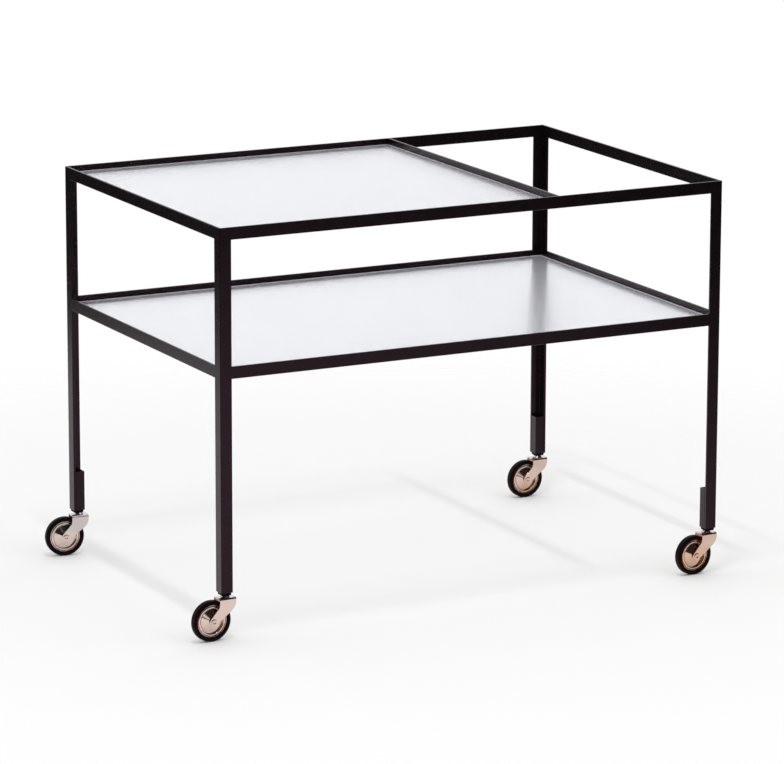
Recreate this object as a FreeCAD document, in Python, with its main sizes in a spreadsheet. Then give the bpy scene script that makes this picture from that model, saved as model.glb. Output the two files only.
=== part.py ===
import FreeCAD, Part
import math
import os
import Sketcher

# Bar cart: a welded frame of equal angle steel, two panes of textured glass and four swivel casters.
# Frame of reference: origin on the floor under the middle of the frame, X along the cart's length,
# Y from its front to its back, Z up.

# Driving dimensions, in millimetres and degrees
DIMENSIONS = (
    ("frame_length", 780, "outer length of the frame"),
    ("frame_depth", 515, "outer depth of the frame"),
    ("frame_height", 570, "floor to the top of the upper rails"),
    ("shelf_height", 380, "floor to the top of the lower rails"),
    ("angle_flange", 17, "width of each flange of the angle steel"),
    ("angle_wall", 3, "wall of the angle steel"),
    ("leg_rounding", 0.8, "rounding of each leg's outer edge"),
    ("bay_length", 257, "clear length of the open bottle bay"),
    ("glass_thickness", 6, "thickness of each pane"),
    ("glass_clearance", 1.5, "gap between the edge of a pane and the rails"),
    ("glass_arris", 0.8, "chamfer ground along the upper edges of a pane"),
    ("socket_height", 57.5, "length of the tube in the foot of each leg"),
    ("socket_wall", 1.5, "wall of that tube"),
    ("plug_clearance", 0.05, "gap between a plug and each side of its tube"),
    ("plug_wall", 1.45, "least wall of a plug beside its stem"),
    ("plug_roof", 4, "solid end of a plug above its bore"),
    ("plug_flange_inset", 0.75, "inset of a plug's flange from each side of its leg"),
    ("plug_flange_height", 4, "height of that flange"),
    ("plug_chamfer", 1.5, "chamfer round the lower face of that flange"),
    ("stem_shank", 28, "length of a stem above the lower end of its leg"),
    ("stem_end_gap", 2, "space above a stem in its plug"),
    ("stem_neck_radius", 3.5, "radius of the neck on which a fork turns"),
    ("stem_head_radius", 5.2, "radius of the riveted head under a fork"),
    ("stem_head_height", 2.2, "height of that head"),
    ("collar_height", 2.65, "height of the collar between a fork and its plug"),
    ("collar_lower_radius", 6.8, "radius of the collar at its lower end"),
    ("collar_upper_radius", 5, "radius of the collar at its upper end"),
    ("swivel_play", 0.15, "axial play of a fork at each end of its neck"),
    ("swivel_clearance", 0.08, "radial play of a fork on its neck"),
    ("wheel_radius", 28.5, "outer radius of a tyre"),
    ("wheel_trail", 22, "distance of a wheel's axle behind its stem"),
    ("crown_gap", 1.2, "space between a tyre and the plate of its fork"),
    ("fork_sheet", 1.5, "sheet that the forks are pressed from"),
    ("fork_plate_length", 25, "length of a fork's upper plate"),
    ("fork_boss_radius", 6.3, "radius of a fork's side round its axle"),
    ("fork_rear_drop", 11.8, "depth at which a fork's rear edge turns to its axle"),
    ("fork_rear_radius", 10, "radius of that turn"),
    ("fork_front_drop", 13.5, "depth at which a fork's front edge turns to its axle"),
    ("fork_front_radius", 18, "radius of that turn"),
    ("fork_bend_radius", 1.5, "inner radius of the bends along a fork's plate"),
    ("fork_side_gap", 2, "space between a tyre and each side of its fork"),
    ("axle_radius", 2.5, "radius of an axle rivet"),
    ("axle_head_radius", 4.2, "radius of the heads of an axle rivet"),
    ("axle_head_height", 1.2, "height of those heads"),
    ("axle_clearance", 0.05, "radial play of a wheel on its axle"),
    ("bush_radius", 4.5, "outer radius of a wheel's bush"),
    ("bush_side_gap", 0.4, "space between a bush and each side of its fork"),
    ("rim_width", 7, "width of a disc at its rim"),
    ("rim_ring", 5.2, "width of the raised ring round a disc"),
    ("web_width", 2.4, "width of a disc where its cone meets that ring"),
    ("hub_width", 11.2, "width of a disc at its bush"),
    ("tyre_width", 11.6, "width of a tyre"),
    ("tyre_height", 5.8, "height of a tyre above its disc"),
    ("tyre_shoulder", 1.2, "chamfer along each shoulder of a tyre"),
    ("swivel_front_left", 183.5, "direction in which the front left wheel trails"),
    ("swivel_front_right", 184.5, "direction in which the front right wheel trails"),
    ("swivel_back_right", 182, "direction in which the back right wheel trails"),
    ("swivel_back_left", 174, "direction in which the back left wheel trails"),
)

# Corners of the frame: name, side along X, side along Y, turn of the leg about Z
CORNERS = (
    ("front_left", -1, -1, 0),
    ("front_right", 1, -1, 90),
    ("back_right", 1, 1, 180),
    ("back_left", -1, 1, 270),
)

# Heights that follow from the driving dimensions, from the floor up
PLATE_LOWER = "(2 * dims.wheel_radius + dims.crown_gap)"
PLATE_UPPER = f"({PLATE_LOWER} + dims.fork_sheet)"
COLLAR_LOWER = f"({PLATE_UPPER} + dims.swivel_play)"
PLUG_LOWER = f"({COLLAR_LOWER} + dims.collar_height)"
LEG_LOWER = f"({PLUG_LOWER} + dims.plug_flange_height)"

# Widths that follow from the driving dimensions
STEM_INSET = "((dims.angle_wall + dims.angle_flange) / 2)"
SOCKET_BORE = "(dims.angle_flange - dims.angle_wall - 2 * dims.socket_wall)"
PLUG_HALF = f"({SOCKET_BORE} / 2 - dims.plug_clearance)"
STEM_RADIUS = f"({PLUG_HALF} - dims.plug_wall)"
BORE_DEPTH = "(dims.stem_shank + dims.stem_end_gap)"
FORK_INNER = "(dims.tyre_width / 2 + dims.fork_side_gap)"
FORK_OUTER = f"({FORK_INNER} + dims.fork_sheet)"
BUSH_HALF = f"({FORK_INNER} - dims.bush_side_gap)"
RIM_RADIUS = "(dims.wheel_radius - dims.tyre_height)"
RING_RADIUS = f"({RIM_RADIUS} - dims.rim_ring)"
CROSS_LEFT = "(dims.frame_length / 2 - 2 * dims.angle_wall - dims.bay_length)"

FULL_TURN = 360

doc = FreeCAD.newDocument("bar_cart")
sheet = doc.addObject("Spreadsheet::Sheet", "dims")
parts = []


def fill_sheet():
    for row, (alias, value, note) in enumerate(DIMENSIONS, start=1):
        sheet.set(f"A{row}", note)
        sheet.set(f"B{row}", str(value))
        sheet.setAlias(f"B{row}", alias)
    doc.recompute()


def number(expression):
    """Present value of an expression, to draw a sketch close to its solution."""
    return float(sheet.evalExpression(expression))


def point(x, y):
    return FreeCAD.Vector(x, y, 0)


# Bodies, sketches and features

def new_body(label, x, y, z, turn):
    """Body of one piece, placed by three expressions and turned about Z."""
    body = doc.addObject("PartDesign::Body", label)
    body.Label = label
    body.setExpression("Placement.Base.x", x)
    body.setExpression("Placement.Base.y", y)
    body.setExpression("Placement.Base.z", z)
    body.setExpression("Placement.Rotation.Angle", str(turn))
    parts.append(body)
    return body


def join_group(label, bodies):
    """One node that holds identical pieces as separate solids."""
    group = doc.addObject("Part::Compound", label)
    group.Label = label
    group.Links = bodies
    for body in bodies:
        parts.remove(body)
    parts.append(group)


def new_sketch(body, name, plane, offset=None):
    """Sketch on one of the body's own planes, or at an offset from it."""
    sketch = body.newObject("Sketcher::SketchObject", f"{body.Name}_{name}")
    support = next(item for item in body.Origin.OriginFeatures if item.Role == plane)
    sketch.AttachmentSupport = [(support, "")]
    sketch.MapMode = "FlatFace"
    if offset:
        sketch.setExpression("AttachmentOffset.Base.z", offset)
    return sketch


def bind(sketch, name, constraint, expression):
    """Add a dimension and tie it to an expression."""
    index = sketch.addConstraint(constraint)
    sketch.renameConstraint(index, name)
    sketch.setExpression(f"Constraints.{name}", expression)


def tie_point(sketch, name, geometry, end, x, y):
    """Fix one point of a sketch at a place measured from the sketch's origin."""
    origin = (-1, 1)
    across = Sketcher.Constraint("DistanceX", *origin, geometry, end, number(x))
    up = Sketcher.Constraint("DistanceY", *origin, geometry, end, number(y))
    bind(sketch, f"{name}_x", across, x)
    bind(sketch, f"{name}_y", up, y)


def draw_polygon(sketch, name, corners):
    """Closed outline of straight lines, with each corner tied to its two expressions."""
    places = [point(number(x), number(y)) for x, y in corners]
    lines = []
    for start, end in zip(places, places[1:] + places[:1]):
        lines.append(sketch.addGeometry(Part.LineSegment(start, end)))
    for line, following in zip(lines, lines[1:] + lines[:1]):
        sketch.addConstraint(Sketcher.Constraint("Coincident", line, 2, following, 1))
    for line, (x, y) in zip(lines, corners):
        tie_point(sketch, f"{name}_{line}", line, 1, x, y)


def draw_rectangle(sketch, name, left, lower, right, upper):
    draw_polygon(sketch, name, ((left, lower), (right, lower), (right, upper), (left, upper)))


def draw_circle(sketch, name, x, y, radius):
    circle = Part.Circle(point(number(x), number(y)), FreeCAD.Vector(0, 0, 1), number(radius))
    geometry = sketch.addGeometry(circle)
    tie_point(sketch, name, geometry, 3, x, y)
    bind(sketch, f"{name}_radius", Sketcher.Constraint("Radius", geometry, number(radius)), radius)


def pad(body, sketch, length, side="One side", reverse=False):
    feature = body.newObject("PartDesign::Pad", f"{sketch.Name}_pad")
    feature.Profile = sketch
    feature.SideType = side
    feature.Reversed = reverse
    feature.Refine = True
    feature.setExpression("Length", length)
    doc.recompute()


def cut_through(body, sketch):
    """Cut a sketch through the whole body, to both sides of its plane."""
    before = body.Shape.Volume
    feature = body.newObject("PartDesign::Pocket", f"{sketch.Name}_cut")
    feature.Profile = sketch
    feature.SideType = "Symmetric"
    feature.Type = "ThroughAll"
    doc.recompute()
    check_cut(body, before)


def revolve(body, sketch, kind="PartDesign::Revolution"):
    """Turn a sketch round its own vertical axis."""
    feature = body.newObject(kind, f"{sketch.Name}_turned")
    feature.Profile = sketch
    feature.ReferenceAxis = (sketch, ["V_Axis"])
    feature.Angle = FULL_TURN
    doc.recompute()


def cut_turned(body, sketch):
    """Remove what a sketch sweeps round its own vertical axis."""
    before = body.Shape.Volume
    revolve(body, sketch, "PartDesign::Groove")
    check_cut(body, before)


def check_cut(body, before):
    if not body.Shape.Volume < before:
        raise RuntimeError(f"a cut in {body.Label} removed nothing")


def dress_edges(body, kind, size, expression, wanted):
    """Fillet or chamfer the edges of the body, in its own frame, that pass a test."""
    base = body.Tip
    names = [f"Edge{i}" for i, edge in enumerate(base.Shape.Edges, start=1) if wanted(edge)]
    feature = body.newObject(kind, f"{body.Name}_{size.lower()}")
    feature.Base = (base, names)
    feature.setExpression(size, expression)
    doc.recompute()


def runs_along(edge, direction):
    """Whether a straight edge is parallel to a direction."""
    span = edge.Vertexes[-1].Point - edge.Vertexes[0].Point
    return span.Length > 0 and abs(abs(span.dot(direction)) - span.Length) < 1e-6


def edge_lies_at(edge, axis, level):
    """Whether every end of an edge has the same coordinate along an axis."""
    return all(abs(getattr(vertex.Point, axis) - level) < 1e-6 for vertex in edge.Vertexes)


# Frame

def corner_place(side_x, side_y, inset="0"):
    """Expressions for a corner of the frame, or for a point inset from it."""
    return (
        f"{side_x} * (dims.frame_length / 2 - {inset})",
        f"{side_y} * (dims.frame_depth / 2 - {inset})",
    )


def make_leg(name, side_x, side_y, turn):
    """Angle with its outer edge at a corner of the cart and its flanges along both sides."""
    leg = new_body(f"leg_{name}", *corner_place(side_x, side_y), LEG_LOWER, turn)
    sketch = new_sketch(leg, "section", "XY_Plane")
    wall, flange = "dims.angle_wall", "dims.angle_flange"
    section = (("0", "0"), (flange, "0"), (flange, wall), (wall, wall), (wall, flange), ("0", flange))
    draw_polygon(sketch, "section", section)
    pad(leg, sketch, f"dims.frame_height - {LEG_LOWER}")

    def outer_edge(edge):
        upright = runs_along(edge, FreeCAD.Vector(0, 0, 1))
        return upright and edge_lies_at(edge, "x", 0) and edge_lies_at(edge, "y", 0)

    dress_edges(leg, "PartDesign::Fillet", "Radius", "dims.leg_rounding", outer_edge)


def make_socket(name, side_x, side_y, turn):
    """Square tube that fills the inside of a leg's foot."""
    socket = new_body(f"caster_socket_{name}", *corner_place(side_x, side_y), LEG_LOWER, turn)
    sketch = new_sketch(socket, "section", "XY_Plane")
    wall, flange = "dims.angle_wall", "dims.angle_flange"
    near = "dims.angle_wall + dims.socket_wall"
    far = "dims.angle_flange - dims.socket_wall"
    draw_rectangle(sketch, "outside", wall, wall, flange, flange)
    draw_rectangle(sketch, "bore", near, near, far, far)
    pad(socket, sketch, "dims.socket_height")


def make_rail(label, length, ledge, x, y, z, turn):
    """Upright flange of a rail, and the ledge along part of its foot, where it has one.

    In the rail's own frame X runs along it, its outer face is at Y = 0 and its upper edge at Z = 0.
    """
    rail = new_body(label, x, y, z, turn)
    wall, flange = "dims.angle_wall", "dims.angle_flange"
    upright = new_sketch(rail, "upright", "YZ_Plane")
    draw_rectangle(upright, "upright", "0", f"-{flange}", wall, "0")
    pad(rail, upright, length)
    if ledge:
        start, end = ledge
        foot = new_sketch(rail, "ledge", "YZ_Plane", start)
        draw_rectangle(foot, "ledge", wall, f"-{flange}", flange, f"{wall} - {flange}")
        pad(rail, foot, f"{end} - ({start})")


def make_rails():
    """Rails that butt between the legs, and the cross rail beside the bottle bay."""
    long_rail = "(dims.frame_length - 2 * dims.angle_flange)"
    short_rail = "(dims.frame_depth - 2 * dims.angle_flange)"
    half_long, half_short = f"{long_rail} / 2", f"{short_rail} / 2"
    half_length, half_depth = "dims.frame_length / 2", "dims.frame_depth / 2"
    glass_bay = f"({CROSS_LEFT} + {half_long})"
    whole_long, whole_short = ("0", long_rail), ("0", short_rail)
    levels = (
        ("top_rail", "dims.frame_height", ("0", glass_bay), (f"{long_rail} - {glass_bay}", long_rail), None),
        ("shelf_rail", "dims.shelf_height", whole_long, whole_long, whole_short),
    )
    for level, z, front_ledge, back_ledge, right_ledge in levels:
        make_rail(f"{level}_front", long_rail, front_ledge, f"-{half_long}", f"-{half_depth}", z, 0)
        make_rail(f"{level}_back", long_rail, back_ledge, half_long, half_depth, z, 180)
        make_rail(f"{level}_left", short_rail, whole_short, f"-{half_length}", half_short, z, 270)
        make_rail(f"{level}_right", short_rail, right_ledge, half_length, f"-{half_short}", z, 90)
    cross_rail = "(dims.frame_depth - 2 * dims.angle_wall)"
    ledge_inset = "(dims.angle_flange - dims.angle_wall)"
    cross_ledge = (ledge_inset, f"{cross_rail} - {ledge_inset}")
    cross_right, cross_front = f"{CROSS_LEFT} + dims.angle_wall", f"-{cross_rail} / 2"
    make_rail("top_cross_rail", cross_rail, cross_ledge, cross_right, cross_front, "dims.frame_height", 90)


def make_pane(label, right, rail_top):
    """Pane laid on the ledges, from the left rail to a given inner face on the right."""
    bottom = f"{rail_top} - dims.angle_flange + dims.angle_wall"
    pane = new_body(label, "0", "0", bottom, 0)
    left = "dims.angle_wall + dims.glass_clearance - dims.frame_length / 2"
    half_depth = "(dims.frame_depth / 2 - dims.angle_wall - dims.glass_clearance)"
    sketch = new_sketch(pane, "outline", "XY_Plane")
    draw_rectangle(sketch, "outline", left, f"-{half_depth}", f"{right} - dims.glass_clearance", half_depth)
    pad(pane, sketch, "dims.glass_thickness")
    top = number("dims.glass_thickness")
    dress_edges(pane, "PartDesign::Chamfer", "Size", "dims.glass_arris",
                lambda edge: edge_lies_at(edge, "z", top))


# Casters

def make_plug(name, side_x, side_y, turn):
    """Plastic plug: chamfered flange over the end of a leg, square insert in its tube, bore for the stem."""
    plug = new_body(f"stem_plug_{name}", *corner_place(side_x, side_y, STEM_INSET), LEG_LOWER, turn)
    flange = new_sketch(plug, "flange", "XY_Plane")
    near = f"dims.plug_flange_inset - {STEM_INSET}"
    far = f"dims.angle_flange - dims.plug_flange_inset - {STEM_INSET}"
    draw_rectangle(flange, "flange", near, near, far, far)
    pad(plug, flange, "dims.plug_flange_height", reverse=True)
    underside = -number("dims.plug_flange_height")
    dress_edges(plug, "PartDesign::Chamfer", "Size", "dims.plug_chamfer",
                lambda edge: edge_lies_at(edge, "z", underside))
    insert = new_sketch(plug, "insert", "XY_Plane")
    draw_rectangle(insert, "insert", f"-{PLUG_HALF}", f"-{PLUG_HALF}", PLUG_HALF, PLUG_HALF)
    pad(plug, insert, f"{BORE_DEPTH} + dims.plug_roof")
    bore = new_sketch(plug, "bore", "XZ_Plane")
    draw_rectangle(bore, "bore", "0", "-dims.plug_flange_height", STEM_RADIUS, BORE_DEPTH)
    cut_turned(plug, bore)
    return plug


def make_stem(name, side_x, side_y):
    """Turned stem: shank in the plug, tapered collar, neck through the fork and riveted head."""
    stem = new_body(f"caster_stem_{name}", *corner_place(side_x, side_y, STEM_INSET), "0", 0)
    head_upper = f"({PLATE_LOWER} - dims.swivel_play)"
    head_lower = f"{head_upper} - dims.stem_head_height"
    shank_end = f"{LEG_LOWER} + dims.stem_shank"
    profile = new_sketch(stem, "profile", "XZ_Plane")
    draw_polygon(profile, "profile", (
        ("0", head_lower),
        ("dims.stem_head_radius", head_lower),
        ("dims.stem_head_radius", head_upper),
        ("dims.stem_neck_radius", head_upper),
        ("dims.stem_neck_radius", COLLAR_LOWER),
        ("dims.collar_lower_radius", COLLAR_LOWER),
        ("dims.collar_upper_radius", PLUG_LOWER),
        (STEM_RADIUS, PLUG_LOWER),
        (STEM_RADIUS, shank_end),
        ("0", shank_end),
    ))
    revolve(stem, profile)
    return stem


def tangent_to_boss(corner, centre, radius, side):
    """Point where a line from a corner touches a circle, on its left (1) or right (-1) side."""
    reach = centre - corner
    turn = side * math.asin(radius / reach.Length)
    length = math.sqrt(reach.Length ** 2 - radius ** 2)
    ahead = reach.normalize()
    across = point(-ahead.y, ahead.x)
    return corner + (ahead * math.cos(turn) + across * math.sin(turn)) * length


def rounded_corner(corner, arriving, leaving, radius):
    """Ends and centre of the arc that rounds a corner between two unit directions."""
    turn = math.acos(arriving.dot(leaving))
    setback = radius * math.tan(turn / 2)
    inward = (leaving - arriving).normalize()
    centre = corner + inward * (radius / math.cos(turn / 2))
    return corner - arriving * setback, corner + leaving * setback, centre


def arc_between(centre, radius, start, end):
    """Arc that runs anticlockwise from one point to another."""
    circle = Part.Circle(centre, FreeCAD.Vector(0, 0, 1), radius)
    return Part.ArcOfCircle(circle, circle.parameter(start), circle.parameter(end))


def draw_fork_side(sketch):
    """Outline of a fork seen from its side: plate edge on top, and both edges swept to the axle."""
    half, upper = number("dims.fork_plate_length / 2"), number(PLATE_UPPER)
    axle = point(number("dims.wheel_trail"), number("dims.wheel_radius"))
    boss = number("dims.fork_boss_radius")
    rear_radius, front_radius = number("dims.fork_rear_radius"), number("dims.fork_front_radius")
    rear_turn = point(half, upper - number("dims.fork_rear_drop"))
    front_turn = point(-half, upper - number("dims.fork_front_drop"))
    rear_touch = tangent_to_boss(rear_turn, axle, boss, 1)
    front_touch = tangent_to_boss(front_turn, axle, boss, -1)
    down, climb = point(0, -1), point(0, 1)
    rear_way = (rear_touch - rear_turn).normalize()
    front_way = (front_turn - front_touch).normalize()
    rear_start, rear_end, rear_centre = rounded_corner(rear_turn, down, rear_way, rear_radius)
    front_start, front_end, front_centre = rounded_corner(front_turn, front_way, climb, front_radius)

    top = sketch.addGeometry(Part.LineSegment(point(-half, upper), point(half, upper)))
    rear_edge = sketch.addGeometry(Part.LineSegment(point(half, upper), rear_start))
    rear_arc = sketch.addGeometry(arc_between(rear_centre, rear_radius, rear_start, rear_end))
    rear_slope = sketch.addGeometry(Part.LineSegment(rear_end, rear_touch))
    boss_arc = sketch.addGeometry(arc_between(axle, boss, front_touch, rear_touch))
    front_slope = sketch.addGeometry(Part.LineSegment(front_touch, front_start))
    front_arc = sketch.addGeometry(arc_between(front_centre, front_radius, front_end, front_start))
    front_edge = sketch.addGeometry(Part.LineSegment(front_end, point(-half, upper)))
    rear_mark = sketch.addGeometry(Part.Point(rear_turn), True)
    front_mark = sketch.addGeometry(Part.Point(front_turn), True)

    sketch.addConstraint(Sketcher.Constraint("Coincident", top, 2, rear_edge, 1))
    sketch.addConstraint(Sketcher.Constraint("Coincident", front_edge, 2, top, 1))
    sketch.addConstraint(Sketcher.Constraint("Horizontal", top))
    sketch.addConstraint(Sketcher.Constraint("Vertical", rear_edge))
    sketch.addConstraint(Sketcher.Constraint("Vertical", front_edge))
    joins = (
        (rear_edge, 2, rear_arc, 1),
        (rear_arc, 2, rear_slope, 1),
        (rear_slope, 2, boss_arc, 2),
        (boss_arc, 1, front_slope, 1),
        (front_slope, 2, front_arc, 2),
        (front_arc, 1, front_edge, 1),
    )
    for join in joins:
        sketch.addConstraint(Sketcher.Constraint("Tangent", *join))
    for mark, edge, slope in ((rear_mark, rear_edge, rear_slope), (front_mark, front_edge, front_slope)):
        sketch.addConstraint(Sketcher.Constraint("PointOnObject", mark, 1, edge))
        sketch.addConstraint(Sketcher.Constraint("PointOnObject", mark, 1, slope))

    tie_point(sketch, "plate", top, 1, "-dims.fork_plate_length / 2", PLATE_UPPER)
    length = Sketcher.Constraint("DistanceX", top, 1, top, 2, 2 * half)
    bind(sketch, "plate_length", length, "dims.fork_plate_length")
    tie_point(sketch, "axle", boss_arc, 3, "dims.wheel_trail", "dims.wheel_radius")
    radii = (("boss", boss_arc, boss), ("rear", rear_arc, rear_radius), ("front", front_arc, front_radius))
    for name, arc, radius in radii:
        bind(sketch, f"{name}_radius", Sketcher.Constraint("Radius", arc, radius), f"dims.fork_{name}_radius")
    for name, mark in (("rear", rear_mark), ("front", front_mark)):
        expression = f"dims.fork_{name}_drop"
        drop = Sketcher.Constraint("DistanceY", mark, 1, top, 1, number(expression))
        bind(sketch, f"{name}_drop", drop, expression)


def make_fork(name, side_x, side_y):
    """Pressed fork: a plate that turns on the stem, with two sides swept back to the axle."""
    place = corner_place(side_x, side_y, STEM_INSET)
    fork = new_body(f"caster_fork_{name}", *place, "0", f"dims.swivel_{name}")
    side = new_sketch(fork, "side", "XZ_Plane")
    draw_fork_side(side)
    pad(fork, side, f"2 * {FORK_OUTER}", side="Symmetric")
    channel = new_sketch(fork, "channel", "YZ_Plane")
    draw_rectangle(channel, "channel", f"-{FORK_INNER}", "0", FORK_INNER, PLATE_LOWER)
    cut_through(fork, channel)
    bends = (
        (PLATE_UPPER, FORK_OUTER, "dims.fork_bend_radius + dims.fork_sheet"),
        (PLATE_LOWER, FORK_INNER, "dims.fork_bend_radius"),
    )
    for height, reach, radius in bends:
        level, side_face = number(height), number(reach)

        def along_bend(edge):
            along = runs_along(edge, FreeCAD.Vector(1, 0, 0)) and edge_lies_at(edge, "z", level)
            return along and (edge_lies_at(edge, "y", side_face) or edge_lies_at(edge, "y", -side_face))

        dress_edges(fork, "PartDesign::Fillet", "Radius", radius, along_bend)
    stem_hole = new_sketch(fork, "stem_hole", "XY_Plane")
    draw_circle(stem_hole, "hole", "0", "0", "dims.stem_neck_radius + dims.swivel_clearance")
    cut_through(fork, stem_hole)
    axle_holes = new_sketch(fork, "axle_holes", "XZ_Plane")
    draw_circle(axle_holes, "hole", "dims.wheel_trail", "dims.wheel_radius", "dims.axle_radius")
    cut_through(fork, axle_holes)


def new_wheel_piece(label, name, side_x, side_y):
    """Body at the middle of a wheel, with its own Y axis along the axle."""
    x, y = corner_place(side_x, side_y, STEM_INSET)
    swivel = f"dims.swivel_{name}"
    x_back = f"{x} + dims.wheel_trail * cos({swivel})"
    y_back = f"{y} + dims.wheel_trail * sin({swivel})"
    return new_body(f"{label}_{name}", x_back, y_back, "dims.wheel_radius", swivel)


def mirrored_profile(half):
    """Profile whose second half repeats the first on the other side of the wheel's middle."""
    return half + tuple((radius, f"-({along})") for radius, along in reversed(half))


def make_turned_piece(label, half, *corner):
    """Piece turned about a wheel's axle, from half of its profile as radius and distance."""
    piece = new_wheel_piece(label, *corner)
    profile = new_sketch(piece, "profile", "XY_Plane")
    draw_polygon(profile, "profile", mirrored_profile(half))
    revolve(piece, profile)


def make_wheel(*corner):
    """Axle rivet, bush, pressed disc and rubber tyre of one caster."""
    head_end = f"{FORK_OUTER} + dims.axle_head_height"
    make_turned_piece("axle_rivet", (
        ("dims.axle_radius", FORK_OUTER),
        ("dims.axle_head_radius", FORK_OUTER),
        ("dims.axle_head_radius", head_end),
        ("0", head_end),
    ), *corner)
    make_turned_piece("hub_bush", (
        ("dims.axle_radius + dims.axle_clearance", BUSH_HALF),
        ("dims.bush_radius", BUSH_HALF),
    ), *corner)
    make_turned_piece("wheel_disc", (
        ("dims.bush_radius", "dims.hub_width / 2"),
        (RING_RADIUS, "dims.web_width / 2"),
        (RING_RADIUS, "dims.rim_width / 2"),
        (RIM_RADIUS, "dims.rim_width / 2"),
    ), *corner)
    make_turned_piece("tyre", (
        (RIM_RADIUS, "dims.tyre_width / 2"),
        ("dims.wheel_radius - dims.tyre_shoulder", "dims.tyre_width / 2"),
        ("dims.wheel_radius", "dims.tyre_width / 2 - dims.tyre_shoulder"),
    ), *corner)


def make_cart():
    fill_sheet()
    for corner in CORNERS:
        make_leg(*corner)
        make_socket(*corner)
    make_rails()
    make_pane("upper_glass", CROSS_LEFT, "dims.frame_height")
    make_pane("lower_glass", "dims.frame_length / 2 - dims.angle_wall", "dims.shelf_height")
    casters = [corner[:3] for corner in CORNERS]
    join_group("stem_plugs", [make_plug(*corner) for corner in CORNERS])
    join_group("caster_stems", [make_stem(*caster) for caster in casters])
    for caster in casters:
        make_fork(*caster)
        make_wheel(*caster)
    doc.recompute()


def check_cart():
    failed = [item.Label for item in doc.Objects if {"Invalid", "Error"} & set(item.State)]
    failed += [part.Label for part in parts if part.Shape.isNull() or not part.Shape.isValid()]
    if failed:
        raise RuntimeError(f"pieces that did not build: {failed}")


def export_cart():
    os.makedirs("parts", exist_ok=True)
    for part in parts:
        part.Shape.exportStep(f"parts/{part.Label}.step")


make_cart()
check_cart()
export_cart()
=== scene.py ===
import math

import bmesh
import bpy
from mathutils import Matrix, Vector


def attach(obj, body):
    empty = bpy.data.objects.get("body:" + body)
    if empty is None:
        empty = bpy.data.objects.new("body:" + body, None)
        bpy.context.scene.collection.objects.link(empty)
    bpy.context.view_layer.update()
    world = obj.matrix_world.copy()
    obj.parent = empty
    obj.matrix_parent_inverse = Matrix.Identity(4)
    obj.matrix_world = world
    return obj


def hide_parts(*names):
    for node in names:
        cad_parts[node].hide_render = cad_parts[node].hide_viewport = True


# Looks of the bar cart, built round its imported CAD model.
# Lengths are in millimetres and angles in degrees, unless a heading says metres.
# Meshes are scaled to metres as they are made.

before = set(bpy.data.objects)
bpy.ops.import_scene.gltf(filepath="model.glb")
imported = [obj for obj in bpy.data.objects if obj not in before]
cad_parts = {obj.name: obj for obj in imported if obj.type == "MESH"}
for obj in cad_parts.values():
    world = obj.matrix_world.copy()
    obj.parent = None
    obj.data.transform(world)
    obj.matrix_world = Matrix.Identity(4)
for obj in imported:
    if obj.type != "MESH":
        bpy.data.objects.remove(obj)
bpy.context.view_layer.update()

MM = 0.001

# Fineness of the meshes
SHARP_ANGLE = 38
FLAT_WEIGHT = 100
LATHE_STEPS = 96
RING_STEPS = 6
ARC_STEPS = 4
BEVEL_STEPS = 3
RIB_STEPS = 8
PANE_ROWS = 14
ON_AXIS = 1e-6
SAME_POINT = 0.002
SAME_PLANE = 0.5

# Corners of the frame: name, side along X, side along Y, turn of the leg, turn towards the trailing wheel
CORNERS = (
    ("front_left", -1, -1, 0, 183.5),
    ("front_right", 1, -1, 90, 184.5),
    ("back_right", 1, 1, 180, 182),
    ("back_left", -1, 1, 270, 174),
)

# Frame
HALF_LENGTH = 390
HALF_DEPTH = 257.5
FRAME_TOP = 570
SHELF_TOP = 380
LEG_FOOT = 66.5
FLANGE = 17
WALL = 3
CROSS_FACE = 130
EDGE_ROUND = 0.4
HEEL_ROUND = 0.8
TOE_ROUND = 0.5
ROOT_FILLET = 1.2
LEG_ROOT_FILLET = 0.6
SOCKET_TOP = 124
SOCKET_WALL = 1.5
SOCKET_CORNER = 0.7

# Panes
PANE_HALF_DEPTH = 253
PANE_LEFT = -385.5
UPPER_PANE_RIGHT = 125.5
LOWER_PANE_RIGHT = 385.5
PANE_THICKNESS = 6
PANE_GAP = 0.12
ARRIS = 0.8
RIB_PITCH = 5.0
RIB_HEIGHT = 0.06

# Slow changes of the ribs: amount, and the lengths over which it changes along and across them
RIB_WAVER = (0.2, 61, 83)
RIB_SWELL = (0.1, 57, 39)

# Casters, with heights above the floor
STEM_INSET = 10
BORE_RADIUS = 4
BORE_TOP = 96.5
BORE_RIM = 0.4
INSERT_HALF = 5.45
INSERT_TOP = 100.5
INSERT_CORNER = 0.6
INSERT_CHAMFER = 0.5
PLUG_FOOT = 62.5
PLUG_HALF = 7.1
PLUG_CORNER = 1.0
PLUG_SHIFT = 1.5
HEAD_FOOT = 55.85
HEAD_TOP = 58.05
COLLAR_FOOT = 59.85
STEM_TOP = 94.5
TRAIL = 22
AXLE_HEIGHT = 28.5
FORK_FACE = 9.3
SHEARED_EDGE = 0.3

# Lower edge of a plug's flange: inset, height over its foot, rounding of its corners
PLUG_EDGE = (
    (1.2, 0, 0.8),
    (0.3, 0.6, 1.0),
    (0, 1.4, PLUG_CORNER),
)

# Turned stem: radius, height, rounding
STEM_PROFILE = (
    (0, HEAD_FOOT, 0),
    (5.2, HEAD_FOOT, 1.2),
    (5.2, HEAD_TOP, 0.2),
    (3.5, HEAD_TOP, 0),
    (3.5, COLLAR_FOOT, 0),
    (6.8, COLLAR_FOOT, 0.35),
    (5.0, PLUG_FOOT, 0.5),
    (4, PLUG_FOOT, 0),
    (4, STEM_TOP, 0.6),
    (0, STEM_TOP, 0),
)

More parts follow.
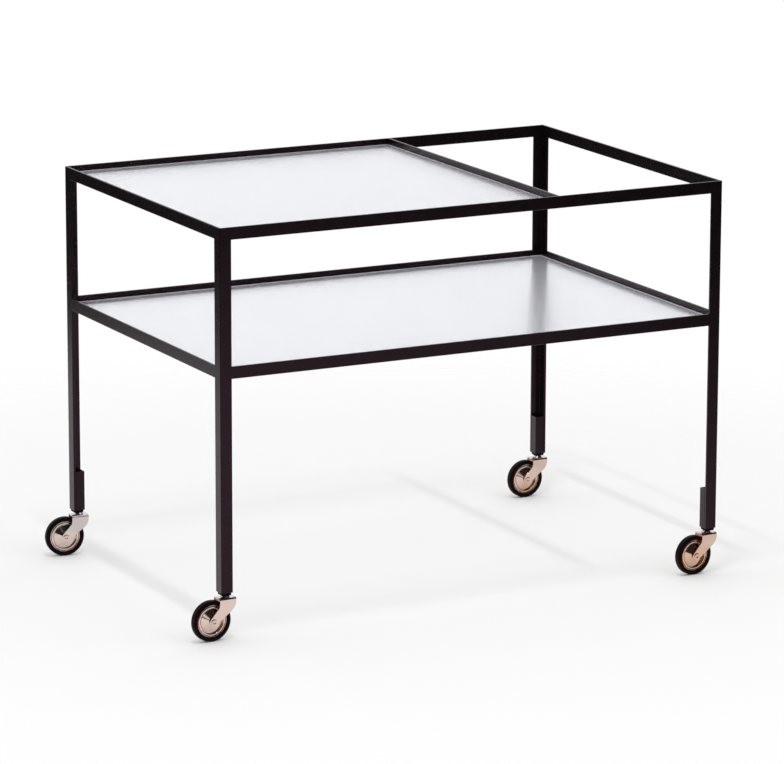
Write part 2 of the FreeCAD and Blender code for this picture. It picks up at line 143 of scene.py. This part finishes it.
# One half of what is turned about the axle: radius, distance from the middle of the wheel, rounding
RIVET_PROFILE = (
    (0, 9.7, 0),
    (1.6, 9.7, 0.5),
    (2.5, 10.5, 0.4),
    (4.2, 10.3, 0.7),
    (4.2, FORK_FACE, 0),
    (2.5, FORK_FACE, 0),
)
BUSH_PROFILE = (
    (2.55, 7.4, 0.2),
    (4.5, 7.4, 0.4),
)
DISC_PROFILE = (
    (4.5, 5.6, 0.3),
    (16.2, 1.64, 0.2),
    (16.4, 0.5, 0.1),
    (17.5, 0.5, 0.1),
    (17.6, 3.5, 1.3),
    (20.5, 3.5, 1.2),
    (20.9, 1.8, 0.2),
    (21.4, 1.8, 0.2),
    (21.5, 3.4, 0.5),
    (22.7, 3.4, 0.6),
)
TYRE_PROFILE = (
    (22.7, 5.8, 0.9),
    (25.6, 5.8, 0.5),
    (28.5, 4.6, 2.0),
)

# Look of the glass, with its ground edge as shares of a pane's sides: where it begins and is complete
GLASS_CLEAR = 0.88
GLASS_ROUGHNESS = (0.12, 0.18)
GROUND_EDGE = (0.0010, 0.0005)
GROUND_ROUGHNESS = 0.6
RIPPLE_DEPTH = 0.09
RIPPLE_SLANT = (1.0, 0.6, 0.0)

# Warmer tone of the plating, in metres: where a change begins and is complete, and how much it counts
WARM_AXIS = (1, -1, 0)
WARM_FADE = (-0.9, 0.9)
WARM_PATCHES = 0.3
WARM_NEAR_FLOOR = (0.050, 0.015)
WARM_LOW = 0.25
SWIVEL_FADE = (0.0575, 0.0605)
SWIVEL_TONE = 0.1

# Textures: usual span of a noise, and radians of phase of a wave for each unit of its scale and place
NOISE_SPAN = (0.3, 0.7)
WAVE_PHASE = 10

# Floor, in metres: where it, and the sheet of it that reflections show, fade in and are complete
FLOOR_REACH = 3.2
FLOOR_WHITE = 0.98
FLOOR_FADE = (1.5, 0.8)
SHEET_LEFT = (-1.30, -0.96)
SHEET_RIGHT = (1.70, 0.20)
SHEET_FRONT = (-3.0, -1.9)
SHEET_BACK = (2.0, 1.2)

# Light from all round, with fades as cosines of the angle to an axis
SOFT_LIGHT = 0.90
ROOM_DIM = 0.015
ROOM_AXIS = (0.0, 0.75, 0.66)
ROOM_FADE = (0.35, 0.7)
UP_AXIS = (0, 0, 1)
HORIZON_FADE = (-0.10, 0.0)
WINDOW_AXIS = (-0.03, -0.983, 0.18)
WINDOW_FADE = (0.9877, 0.9962)

# Lamp, in metres and watts
LAMP_PLACE = (-0.62, -0.95, 3.9)
LAMP_SIZE = (0.12, 0.80)
LAMP_POWER = 19.5

# Camera, fitted to the corners of the frame in the photograph
CAMERA_AZIMUTH = -27.41
CAMERA_ELEVATION = 13.031
CAMERA_ROLL = 0.173
CAMERA_DISTANCE = 6561.992
CAMERA_TARGET = (2.244, 0, 266.957)
FOCAL_PIXELS = 4592.277
PICTURE_WIDTH = 784
SENSOR_WIDTH = 36
CLIP_METRES = (0.1, 100)


# Outlines and meshes

def rounded(corners, steps=ARC_STEPS):
    """Outline whose (x, y, radius) corners are replaced by arcs, or kept sharp where the radius is 0."""
    outline = []
    for i, (x, y, radius) in enumerate(corners):
        here = Vector((x, y))
        if radius == 0:
            outline.append(here)
            continue
        before = (Vector(corners[i - 1][:2]) - here).normalized()
        after = (Vector(corners[(i + 1) % len(corners)][:2]) - here).normalized()
        half = before.angle(after) / 2
        centre = here + (before + after).normalized() * radius / math.sin(half)
        start = here + before * radius / math.tan(half) - centre
        end = here + after * radius / math.tan(half) - centre
        span = start.angle(end)
        for k in range(steps + 1):
            share = k / steps
            blend = start * math.sin((1 - share) * span) + end * math.sin(share * span)
            outline.append(centre + blend / math.sin(span))
    return outline


def add_ring(bm, place, points):
    return [bm.verts.new(place @ Vector(point) * MM) for point in points]


def join_rings(bm, near, far):
    """Wall of faces between two rings, either of which may be a single point."""
    count = max(len(near), len(far))
    for i in range(count):
        j = (i + 1) % count
        if len(near) == 1:
            bm.faces.new((near[0], far[j], far[i]))
        elif len(far) == 1:
            bm.faces.new((near[i], near[j], far[0]))
        else:
            bm.faces.new((near[i], near[j], far[j], far[i]))


def loft(place, rings, closed=False):
    """Solid through a list of rings, closed on itself or capped at both ends."""
    bm = bmesh.new()
    loops = [add_ring(bm, place, ring) for ring in rings]
    for near, far in zip(loops, loops[1:]):
        join_rings(bm, near, far)
    if closed:
        join_rings(bm, loops[-1], loops[0])
    else:
        for loop in (loops[0], loops[-1]):
            if len(loop) > 1:
                bm.faces.new(loop)
    return bm


def lathe(place, profile, closed=False):
    """Solid turned about the place's own Z axis, from (radius, height) points."""
    rings = []
    for radius, height in profile:
        if radius < ON_AXIS:
            rings.append([(0, 0, height)])
            continue
        turns = (2 * math.pi * k / LATHE_STEPS for k in range(LATHE_STEPS))
        rings.append([(radius * math.cos(t), radius * math.sin(t), height) for t in turns])
    return loft(place, rings, closed)


def square_ring(half, corner, height, middle=(0, 0)):
    """Square with rounded corners, which is a circle where the rounding is half its width."""
    corners = ((half, half, corner), (-half, half, corner), (-half, -half, corner), (half, -half, corner))
    return [(middle[0] + x, middle[1] + y, height) for x, y in rounded(corners, RING_STEPS)]


def add_piece(name, bm, body, slot, *nodes):
    """Smoothly shaded object from a mesh, on its body and in place of its CAD nodes."""
    loose = [vert for vert in bm.verts if not vert.link_faces]
    bmesh.ops.delete(bm, geom=loose, context="VERTS")
    bmesh.ops.recalc_face_normals(bm, faces=bm.faces)
    mesh = bpy.data.meshes.new(name)
    bm.to_mesh(mesh)
    bm.free()
    mesh.materials.append(MATERIALS[slot])
    mesh.shade_smooth()
    mesh.set_sharp_from_angle(angle=math.radians(SHARP_ANGLE))
    piece = bpy.data.objects.new(name, mesh)
    bpy.context.scene.collection.objects.link(piece)
    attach(piece, body)
    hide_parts(*nodes)
    return piece


def keep_flat(piece):
    """Shades large faces flat, so that only the rounded edges between them look round."""
    flat = piece.modifiers.new("flat_faces", "WEIGHTED_NORMAL")
    flat.keep_sharp = True
    flat.weight = FLAT_WEIGHT


# Nodes

def feed(tree, socket, value):
    """Gives a socket another node's output, or a plain constant."""
    if isinstance(value, bpy.types.NodeSocket):
        tree.links.new(value, socket)
    else:
        socket.default_value = value


def add_math(tree, operation, first, second):
    node = tree.nodes.new("ShaderNodeMath")
    node.operation = operation
    node.use_clamp = True
    feed(tree, node.inputs[0], first)
    feed(tree, node.inputs[1], second)
    return node.outputs["Value"]


def add_dot(tree, vector, axis):
    node = tree.nodes.new("ShaderNodeVectorMath")
    node.operation = "DOT_PRODUCT"
    feed(tree, node.inputs[0], vector)
    feed(tree, node.inputs[1], axis)
    return node.outputs["Value"]


def add_fade(tree, value, none, full):
    """Smooth rise from 0 to 1 as a value goes from none to full."""
    node = tree.nodes.new("ShaderNodeMapRange")
    node.interpolation_type = "SMOOTHSTEP"
    feed(tree, node.inputs["Value"], value)
    feed(tree, node.inputs["From Min"], none)
    feed(tree, node.inputs["From Max"], full)
    return node.outputs["Result"]


def add_mix(tree, share, plain, other):
    node = tree.nodes.new("ShaderNodeMix")
    node.data_type = "FLOAT"
    feed(tree, node.inputs["Factor"], share)
    feed(tree, node.inputs["A"], plain)
    feed(tree, node.inputs["B"], other)
    return node.outputs["Result"]


def mirrored_rays(tree):
    """1 for what polished faces reflect, 0 for what is seen directly, through glass or by dull faces."""
    path = tree.nodes.new("ShaderNodeLightPath").outputs
    return add_math(tree, "SUBTRACT", path["Is Glossy Ray"], path["Is Transmission Ray"])


# Materials

class Finish:
    """Node helpers round one Principled material, with coordinates in the object's own metres."""

    def __init__(self, name):
        self.material = bpy.data.materials.new(name)
        self.material.use_nodes = True
        self.tree = self.material.node_tree
        self.shader = self.tree.nodes["Principled BSDF"]
        self.place = self.tree.nodes.new("ShaderNodeTexCoord").outputs["Object"]

    def set(self, **values):
        """Constants on the shader's own sockets."""
        for name, value in values.items():
            self.shader.inputs[name.replace("_", " ")].default_value = value

    def link(self, value, name):
        self.tree.links.new(value, self.shader.inputs[name])

    def split(self, place):
        node = self.tree.nodes.new("ShaderNodeSeparateXYZ")
        self.tree.links.new(place, node.inputs["Vector"])
        return node.outputs["X"], node.outputs["Y"], node.outputs["Z"]

    def noise(self, scale, detail):
        node = self.tree.nodes.new("ShaderNodeTexNoise")
        node.inputs["Scale"].default_value = scale
        node.inputs["Detail"].default_value = detail
        self.tree.links.new(self.place, node.inputs["Vector"])
        return node.outputs["Fac"]

    def tones(self, value, *stops):
        """Colour of the surface along a ramp of (position, colour) stops, in rising order."""
        ramp = self.tree.nodes.new("ShaderNodeValToRGB")
        elements = ramp.color_ramp.elements
        for element, (position, colour) in zip(elements, (stops[0], stops[-1])):
            element.position = position
            element.color = (*colour, 1)
        for position, colour in stops[1:-1]:
            elements.new(position).color = (*colour, 1)
        self.tree.links.new(value, ramp.inputs["Fac"])
        self.link(ramp.outputs["Color"], "Base Color")

    def roughness(self, value, low, high):
        """Roughness from low to high over the usual span of a noise."""
        span = self.tree.nodes.new("ShaderNodeMapRange")
        span.inputs["From Min"].default_value = NOISE_SPAN[0]
        span.inputs["From Max"].default_value = NOISE_SPAN[1]
        span.inputs["To Min"].default_value = low
        span.inputs["To Max"].default_value = high
        self.tree.links.new(value, span.inputs["Value"])
        self.link(span.outputs["Result"], "Roughness")

    def bump(self, value, depth, strength):
        """Relief too fine for the mesh, with its depth in millimetres."""
        node = self.tree.nodes.new("ShaderNodeBump")
        node.inputs["Strength"].default_value = strength
        node.inputs["Distance"].default_value = depth * MM
        self.tree.links.new(value, node.inputs["Height"])
        self.link(node.outputs["Normal"], "Normal")


def make_black_paint():
    paint = Finish("black_paint")
    dark, light = (0.0024, 0.0019, 0.0021), (0.0037, 0.0030, 0.0033)
    paint.tones(paint.noise(scale=55, detail=4), (0.35, dark), (0.65, light))
    paint.roughness(paint.noise(scale=240, detail=3), low=0.20, high=0.28)
    paint.bump(paint.noise(scale=1400, detail=2), depth=0.012, strength=0.5)
    paint.set(IOR=1.5, Specular_Tint=(0.58, 0.31, 0.42, 1))
    return paint.material


def make_textured_glass():
    """Slightly hazy and rough glass with fine slanted ripples, and edges ground dull and white."""
    glass = Finish("textured_glass")
    tree = glass.tree
    across, along, _ = glass.split(tree.nodes.new("ShaderNodeTexCoord").outputs["Generated"])
    edge = across
    for value in (along, add_math(tree, "SUBTRACT", 1.0, across), add_math(tree, "SUBTRACT", 1.0, along)):
        edge = add_math(tree, "MINIMUM", edge, value)
    ground = add_fade(tree, edge, *GROUND_EDGE)
    glass.link(add_mix(tree, ground, GLASS_CLEAR, 0.0), "Transmission Weight")
    polish = add_mix(tree, glass.noise(scale=700, detail=2), *GLASS_ROUGHNESS)
    glass.link(add_mix(tree, ground, polish, GROUND_ROUGHNESS), "Roughness")
    slant = tree.nodes.new("ShaderNodeVectorMath")
    slant.operation = "MULTIPLY"
    tree.links.new(glass.place, slant.inputs[0])
    slant.inputs[1].default_value = RIPPLE_SLANT
    ripples = tree.nodes.new("ShaderNodeTexWave")
    ripples.bands_direction = "DIAGONAL"
    ripples.inputs["Scale"].default_value = 2 * math.pi / (WAVE_PHASE * RIB_PITCH * MM)
    tree.links.new(slant.outputs["Vector"], ripples.inputs["Vector"])
    glass.bump(ripples.outputs["Fac"], depth=RIPPLE_DEPTH, strength=1.0)
    glass.set(Base_Color=(0.940, 0.945, 1.0, 1), IOR=1.5)
    return glass.material


def make_black_plastic():
    plastic = Finish("black_plastic")
    dark, light = (0.0030, 0.0030, 0.0032), (0.0055, 0.0054, 0.0058)
    plastic.tones(plastic.noise(scale=90, detail=3), (0.3, dark), (0.7, light))
    plastic.roughness(plastic.noise(scale=400, detail=2), low=0.38, high=0.52)
    plastic.bump(plastic.noise(scale=2600, detail=1), depth=0.012, strength=0.4)
    plastic.set(IOR=1.46, Specular_IOR_Level=0.04)
    return plastic.material


def make_plated_steel():
    """Nickel plating: warmer towards the front right of the cart and towards the floor, greyer on the
    swivels.
    """
    nickel = Finish("plated_steel")
    tree = nickel.tree
    height = nickel.split(nickel.place)[2]
    # Tone set by place alone: warmer towards the front right, in patches, and near the floor
    warmth = add_fade(tree, add_dot(tree, nickel.place, WARM_AXIS), *WARM_FADE)
    patches = add_fade(tree, nickel.noise(scale=45, detail=5), 0.0, 1.0)
    warmth = add_mix(tree, WARM_PATCHES, warmth, patches)
    low = add_math(tree, "MULTIPLY", add_fade(tree, height, *WARM_NEAR_FLOOR), WARM_LOW)
    warmth = add_math(tree, "ADD", warmth, low)
    swivel = add_fade(tree, height, *SWIVEL_FADE)
    nickel.tones(
        add_mix(tree, swivel, warmth, SWIVEL_TONE),
        (0.15, (0.64, 0.59, 0.59)),
        (0.45, (0.735, 0.575, 0.515)),
        (0.76, (0.73, 0.55, 0.475)),
        (0.85, (0.72, 0.48, 0.35)),
    )
    nickel.roughness(nickel.noise(scale=160, detail=4), low=0.07, high=0.14)
    nickel.bump(nickel.noise(scale=1900, detail=2), depth=0.003, strength=0.4)
    nickel.set(Metallic=1.0)
    return nickel.material


def make_black_rubber():
    rubber = Finish("black_rubber")
    dark, light = (0.0036, 0.0017, 0.0021), (0.0062, 0.0031, 0.0038)
    rubber.tones(rubber.noise(scale=70, detail=4), (0.3, dark), (0.7, light))
    rubber.roughness(rubber.noise(scale=300, detail=3), low=0.48, high=0.62)
    rubber.bump(rubber.noise(scale=2200, detail=2), depth=0.02, strength=0.5)
    rubber.set(IOR=1.5, Specular_IOR_Level=0.08, Specular_Tint=(0.8, 0.5, 0.6, 1))
    return rubber.material


MATERIALS = {
    "black_paint": make_black_paint(),
    "textured_glass": make_textured_glass(),
    "black_plastic": make_black_plastic(),
    "plated_steel": make_plated_steel(),
    "black_rubber": make_black_rubber(),
}


# Frame of angle steel

def leg_ring(inset, height):
    """Section of a leg, drawn in from its faces but not from the ends of its flanges."""
    near, wall = inset, WALL - inset
    corners = (
        (near, near, HEEL_ROUND),
        (FLANGE, near, 0),
        (FLANGE, wall, TOE_ROUND),
        (wall, wall, LEG_ROOT_FILLET),
        (wall, FLANGE, TOE_ROUND),
        (near, FLANGE, 0),
    )
    return [(x, y, height) for x, y in rounded(corners)]


def rounding_levels(radius):
    """Pairs of inset and drop that round an edge, from the face to the end."""
    turns = (math.radians(90 * k / ARC_STEPS) for k in range(ARC_STEPS + 1))
    return [(radius * (1 - math.cos(t)), radius * (1 - math.sin(t))) for t in turns]


def make_leg(name, side_x, side_y, turn):
    place = Matrix.Translation((side_x * HALF_LENGTH, side_y * HALF_DEPTH, 0))
    place = place @ Matrix.Rotation(math.radians(turn), 4, "Z")
    levels = rounding_levels(EDGE_ROUND)
    rings = [leg_ring(inset, LEG_FOOT + drop) for inset, drop in reversed(levels)]
    rings += [leg_ring(inset, FRAME_TOP - drop) for inset, drop in levels]
    keep_flat(add_piece(f"painted_leg_{name}", loft(place, rings), "frame", "black_paint", f"leg_{name}"))


def make_socket(name, side_x, side_y):
    """Square tube in the foot of a leg, open at its upper end."""
    middle = (WALL + FLANGE) / 2
    outside = (FLANGE - WALL) / 2
    inside = outside - SOCKET_WALL
    place = Matrix.Translation((side_x * (HALF_LENGTH - middle), side_y * (HALF_DEPTH - middle), 0))
    levels = rounding_levels(EDGE_ROUND)
    rings = []
    for inset, drop in reversed(levels):
        rings.append(square_ring(outside - inset, SOCKET_CORNER, LEG_FOOT + drop))
    for inset, drop in levels:
        rings.append(square_ring(outside - inset, SOCKET_CORNER, SOCKET_TOP - drop))
    for inset, drop in reversed(levels):
        rings.append(square_ring(inside + inset, SOCKET_CORNER, SOCKET_TOP - drop))
    rings.append(square_ring(inside, SOCKET_CORNER, LEG_FOOT))
    socket = loft(place, rings, closed=True)
    keep_flat(add_piece(f"painted_socket_{name}", socket, "frame", "black_paint", f"caster_socket_{name}"))


def rail_outline():
    """Section of a rail, as depth and height from its upper outer edge, and which points its ledge adds."""
    ledge_top = WALL - FLANGE
    outer = rounded((
        (WALL, 0, EDGE_ROUND),
        (0, 0, EDGE_ROUND),
        (0, -FLANGE, HEEL_ROUND),
        (WALL, -FLANGE, 0),
    ))[ARC_STEPS + 1:]
    inner = rounded((
        (WALL, -FLANGE, 0),
        (FLANGE, -FLANGE, EDGE_ROUND),
        (FLANGE, ledge_top, TOE_ROUND),
        (WALL, ledge_top, ROOT_FILLET),
        (WALL, 0, EDGE_ROUND),
        (0, 0, 0),
    ))[1:-1]
    ledge_points = 3 * (ARC_STEPS + 1) - 1
    first = len(outer)
    return outer + inner, range(first, first + ledge_points)


def make_rail(name, length, ledge, x, y, top, turn):
    """Rail with its ledge along part of its length, or with none."""
    place = Matrix.Translation((x, y, top)) @ Matrix.Rotation(math.radians(turn), 4, "Z")
    outline, ledge_points = rail_outline()
    whole = list(range(len(outline)))
    upright = [i for i in whole if i not in ledge_points]
    ledge_cap = [ledge_points[0] - 1, *ledge_points, ledge_points[-1] + 1]
    marks = [0, *(mark for mark in ledge if 0 < mark < length), length]
    bm = bmesh.new()
    loops = [add_ring(bm, place, [(mark, depth, z) for depth, z in outline]) for mark in marks]
    sections = []
    for start, end, near, far in zip(marks, marks[1:], loops, loops[1:]):
        section = whole if ledge[0] <= start and end <= ledge[1] else upright
        sections.append(section)
        join_rings(bm, [near[i] for i in section], [far[i] for i in section])
    bm.faces.new([loops[0][i] for i in sections[0]])
    bm.faces.new([loops[-1][i] for i in sections[-1]])
    for loop in loops[1:-1]:
        bm.faces.new([loop[i] for i in ledge_cap])
    keep_flat(add_piece(f"painted_{name}", bm, "frame", "black_paint", name))


def make_rails():
    """Top and shelf rails, with ledges only where glass lies on them, and the cross rail of the top."""
    half_long = HALF_LENGTH - FLANGE
    half_short = HALF_DEPTH - FLANGE
    long_rail, short_rail = 2 * half_long, 2 * half_short
    glass_end = half_long + CROSS_FACE - WALL
    levels = (
        ("top_rail", FRAME_TOP, (0, glass_end), (long_rail - glass_end, long_rail), (0, 0)),
        ("shelf_rail", SHELF_TOP, (0, long_rail), (0, long_rail), (0, short_rail)),
    )
    for level, top, front, back, right in levels:
        make_rail(f"{level}_front", long_rail, front, -half_long, -HALF_DEPTH, top, 0)
        make_rail(f"{level}_back", long_rail, back, half_long, HALF_DEPTH, top, 180)
        make_rail(f"{level}_left", short_rail, (0, short_rail), -HALF_LENGTH, half_short, top, 270)
        make_rail(f"{level}_right", short_rail, right, HALF_LENGTH, -half_short, top, 90)
    half_cross = HALF_DEPTH - WALL
    inset = FLANGE - WALL
    ledge = (inset, 2 * half_cross - inset)
    make_rail("top_cross_rail", 2 * half_cross, ledge, CROSS_FACE, -half_cross, FRAME_TOP, 90)


# Glass

def rib_depth(x, y):
    """Depth of the rolled ribs under a pane: they run from front to back and waver a little."""
    phase = 2 * math.pi * x / RIB_PITCH
    amount, along, across = RIB_WAVER
    waver = amount * math.sin(y / along + x / across)
    amount, along, across = RIB_SWELL
    swell = 1 - amount + amount * math.sin(y / along + x / across)
    return RIB_HEIGHT * swell * (1 - math.cos(phase + waver)) / 2


def spread_out(values):
    """The same places on the outline of a pane, beyond its ground edge."""
    return [values[0] - ARRIS, *values[1:-1], values[-1] + ARRIS]


def make_pane(name, right, rail_top):
    """Pane with ground edges, ribs under it, and a flat upper face that its material gives ripples."""
    bottom = rail_top - FLANGE + WALL + PANE_GAP
    top = rail_top - FLANGE + WALL + PANE_THICKNESS
    length = right - PANE_LEFT - 2 * ARRIS
    columns = round(length / RIB_PITCH) * RIB_STEPS
    xs = [PANE_LEFT + ARRIS + length * i / columns for i in range(columns + 1)]
    reach = PANE_HALF_DEPTH - ARRIS
    ys = [reach * (2 * j / PANE_ROWS - 1) for j in range(PANE_ROWS + 1)]
    bm = bmesh.new()

    def line(points):
        return add_ring(bm, Matrix(), points)

    def sheet(near, far):
        for i in range(len(near) - 1):
            bm.faces.new((near[i], near[i + 1], far[i + 1], far[i]))

    under = [line([(x, y, bottom + rib_depth(x, y)) for y in ys]) for x in xs]
    for near, far in zip(under, under[1:]):
        sheet(near, far)
    wide_xs, wide_ys = spread_out(xs), spread_out(ys)
    sides = []
    for y, wide_y, j in ((ys[0], wide_ys[0], 0), (ys[-1], wide_ys[-1], -1)):
        low = line([(x, wide_y, bottom + ARRIS) for x in wide_xs])
        high = line([(x, wide_y, top - ARRIS) for x in wide_xs])
        face = line([(x, y, top) for x in xs])
        sheet([column[j] for column in under], low)
        sheet(low, high)
        sheet(high, face)
        sides.append((low, high, face))
    (front_low, front_high, front_face), (back_low, back_high, back_face) = sides
    sheet(front_face, back_face)
    for i in (0, -1):
        low = [front_low[i], *line([(wide_xs[i], y, bottom + ARRIS) for y in ys[1:-1]]), back_low[i]]
        sheet(under[i], low)
        bm.faces.new((*low, back_high[i], front_high[i]))
        bm.faces.new((front_high[i], back_high[i], back_face[i], front_face[i]))
    pane = add_piece(f"ribbed_{name}", bm, "frame", "textured_glass", name)
    pane.visible_shadow = False
    pane.visible_diffuse = False


# Casters

def make_plug(name, x, y, side_x, side_y):
    """Moulded plug: chamfered flange over the end of the leg, square insert above it and a blind bore."""
    middle = (PLUG_SHIFT * side_x, PLUG_SHIFT * side_y)
    rim = BORE_RADIUS + BORE_RIM
    rings = [
        square_ring(BORE_RADIUS, BORE_RADIUS, BORE_TOP),
        square_ring(BORE_RADIUS, BORE_RADIUS, PLUG_FOOT + BORE_RIM),
        square_ring(rim, rim, PLUG_FOOT),
    ]
    for inset, rise, corner in PLUG_EDGE:
        rings.append(square_ring(PLUG_HALF - inset, corner, PLUG_FOOT + rise, middle))
    rings += [
        square_ring(PLUG_HALF, PLUG_CORNER, LEG_FOOT, middle),
        square_ring(INSERT_HALF, INSERT_CORNER, LEG_FOOT),
        square_ring(INSERT_HALF, INSERT_CORNER, INSERT_TOP - INSERT_CHAMFER),
        square_ring(INSERT_HALF - INSERT_CHAMFER, INSERT_CORNER, INSERT_TOP),
    ]
    plug = loft(Matrix.Translation((x, y, 0)), rings)
    keep_flat(add_piece(f"moulded_plug_{name}", plug, "frame", "black_plastic", "stem_plugs"))


def make_stem(name, x, y):
    """Turned stem with its riveted head under the fork and its tapered collar above it."""
    stem = lathe(Matrix.Translation((x, y, 0)), rounded(STEM_PROFILE))
    keep_flat(add_piece(f"turned_stem_{name}", stem, "frame", "plated_steel", "caster_stems"))


def make_fork(name):
    """Pressed fork: the CAD shape with its sheared edges broken."""
    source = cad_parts[f"caster_fork_{name}"].data
    bm = bmesh.new()
    bm.from_mesh(source)
    bmesh.ops.remove_doubles(bm, verts=bm.verts, dist=SAME_POINT * MM)
    bmesh.ops.dissolve_limit(bm, angle_limit=math.radians(SAME_PLANE), verts=bm.verts, edges=bm.edges)
    fork = add_piece(f"pressed_fork_{name}", bm, f"caster_{name}", "plated_steel", f"caster_fork_{name}")
    edge = fork.modifiers.new("broken_edges", "BEVEL")
    edge.width = SHEARED_EDGE * MM
    edge.segments = BEVEL_STEPS
    edge.limit_method = "ANGLE"
    edge.angle_limit = math.radians(SHARP_ANGLE)
    keep_flat(fork)


def both_sides(half):
    """Profile whose second half repeats the first on the other side of the wheel."""
    return [*half, *((radius, -along, rounding) for radius, along, rounding in reversed(half))]


def make_wheel(name, place):
    """Axle rivet, bush, pressed disc and tyre, turned about the axle."""
    pieces = (
        ("rolled_rivet", RIVET_PROFILE, False, "caster", "plated_steel", "axle_rivet"),
        ("steel_bush", BUSH_PROFILE, True, "wheel", "plated_steel", "hub_bush"),
        ("spun_disc", DISC_PROFILE, True, "wheel", "plated_steel", "wheel_disc"),
        ("rubber_tyre", TYRE_PROFILE, True, "wheel", "black_rubber", "tyre"),
    )
    for piece, half, is_ring, body, slot, node in pieces:
        solid = lathe(place, rounded(both_sides(half)), closed=is_ring)
        keep_flat(add_piece(f"{piece}_{name}", solid, f"{body}_{name}", slot, f"{node}_{name}"))


def make_caster(name, side_x, side_y, trail_turn):
    x, y = side_x * (HALF_LENGTH - STEM_INSET), side_y * (HALF_DEPTH - STEM_INSET)
    make_plug(name, x, y, side_x, side_y)
    make_stem(name, x, y)
    make_fork(name)
    turn = Matrix.Rotation(math.radians(trail_turn), 4, "Z")
    axle = Vector((x, y, AXLE_HEIGHT)) + turn @ Vector((TRAIL, 0, 0))
    on_axle = Matrix.Rotation(math.radians(-90), 4, "X")
    make_wheel(name, Matrix.Translation(axle) @ turn @ on_axle)


# Studio

def make_floor():
    """White floor that fades into the backdrop. Polished faces see a sheet of it, with edges of its own."""
    white = Finish("studio_floor")
    tree = white.tree
    across, along, _ = white.split(white.place)
    sheet = add_fade(tree, across, *SHEET_LEFT)
    for value, fade in ((across, SHEET_RIGHT), (along, SHEET_FRONT), (along, SHEET_BACK)):
        sheet = add_math(tree, "MULTIPLY", sheet, add_fade(tree, value, *fade))
    distance = tree.nodes.new("ShaderNodeVectorMath")
    distance.operation = "LENGTH"
    tree.links.new(white.place, distance.inputs[0])
    near = add_fade(tree, distance.outputs["Value"], *FLOOR_FADE)
    white.link(add_mix(tree, mirrored_rays(tree), near, sheet), "Alpha")
    white.set(Base_Color=(FLOOR_WHITE, FLOOR_WHITE, FLOOR_WHITE, 1), Roughness=1.0, Specular_IOR_Level=0.0)
    mesh = bpy.data.meshes.new("studio_floor")
    reach = FLOOR_REACH
    corners = [(-reach, -reach, 0), (reach, -reach, 0), (reach, reach, 0), (-reach, reach, 0)]
    mesh.from_pydata(corners, [], [(0, 1, 2, 3)])
    mesh.materials.append(white.material)
    floor = bpy.data.objects.new("studio_floor", mesh)
    bpy.context.scene.collection.objects.link(floor)


def make_world():
    """Soft even light and a white backdrop, in a room that polished faces see dark in front."""
    world = bpy.data.worlds.new("studio")
    bpy.context.scene.world = world
    world.use_nodes = True
    tree = world.node_tree
    direction = tree.nodes.new("ShaderNodeTexCoord").outputs["Generated"]
    room = add_fade(tree, add_dot(tree, direction, ROOM_AXIS), *ROOM_FADE)
    window = add_fade(tree, add_dot(tree, direction, WINDOW_AXIS), *WINDOW_FADE)
    above = add_fade(tree, add_dot(tree, direction, UP_AXIS), *HORIZON_FADE)
    room = add_math(tree, "MULTIPLY", add_math(tree, "MAXIMUM", room, window), above)
    room = add_math(tree, "MAXIMUM", room, ROOM_DIM)
    light = add_mix(tree, mirrored_rays(tree), SOFT_LIGHT, room)
    path = tree.nodes.new("ShaderNodeLightPath").outputs
    seen = add_math(tree, "MAXIMUM", path["Is Camera Ray"], path["Is Transmission Ray"])
    background = tree.nodes["Background"].inputs
    background["Color"].default_value = (1, 1, 1, 1)
    tree.links.new(add_mix(tree, seen, light, 1.0), background["Strength"])


def make_lamp():
    """Lamp high above the cart and to its front left, long from front to back."""
    light = bpy.data.lights.new("studio_lamp", "AREA")
    light.energy = LAMP_POWER
    light.shape = "RECTANGLE"
    light.size, light.size_y = LAMP_SIZE
    lamp = bpy.data.objects.new("studio_lamp", light)
    lamp.location = LAMP_PLACE
    bpy.context.scene.collection.objects.link(lamp)


def make_camera():
    """Camera at the photograph's viewing angle."""
    azimuth, elevation = math.radians(CAMERA_AZIMUTH), math.radians(CAMERA_ELEVATION)
    roll = math.radians(CAMERA_ROLL)
    flat = math.cos(elevation)
    back = Vector((math.sin(azimuth) * flat, -math.cos(azimuth) * flat, math.sin(elevation)))
    right = (-back).cross(Vector(UP_AXIS)).normalized()
    up = right.cross(-back)
    right, up = (
        right * math.cos(roll) + up * math.sin(roll),
        up * math.cos(roll) - right * math.sin(roll),
    )
    data = bpy.data.cameras.new("camera")
    data.sensor_width = SENSOR_WIDTH
    data.lens = FOCAL_PIXELS * SENSOR_WIDTH / PICTURE_WIDTH
    data.clip_start, data.clip_end = CLIP_METRES
    camera = bpy.data.objects.new("camera", data)
    turn = Matrix((right, up, back)).transposed().to_4x4()
    place = Vector(CAMERA_TARGET) + back * CAMERA_DISTANCE
    camera.matrix_world = Matrix.Translation(place * MM) @ turn
    bpy.context.scene.collection.objects.link(camera)
    bpy.context.scene.camera = camera


def write_sizes():
    """Brings the placements of all objects up to date."""
    bpy.context.view_layer.update()


bpy.context.scene.view_settings.view_transform = "Standard"
make_camera()
make_floor()
make_world()
make_lamp()
for corner, side_x, side_y, leg_turn, trail_turn in CORNERS:
    make_leg(corner, side_x, side_y, leg_turn)
    make_socket(corner, side_x, side_y)
    make_caster(corner, side_x, side_y, trail_turn)
make_rails()
make_pane("upper_glass", UPPER_PANE_RIGHT, FRAME_TOP)
make_pane("lower_glass", LOWER_PANE_RIGHT, SHELF_TOP)
write_sizes()
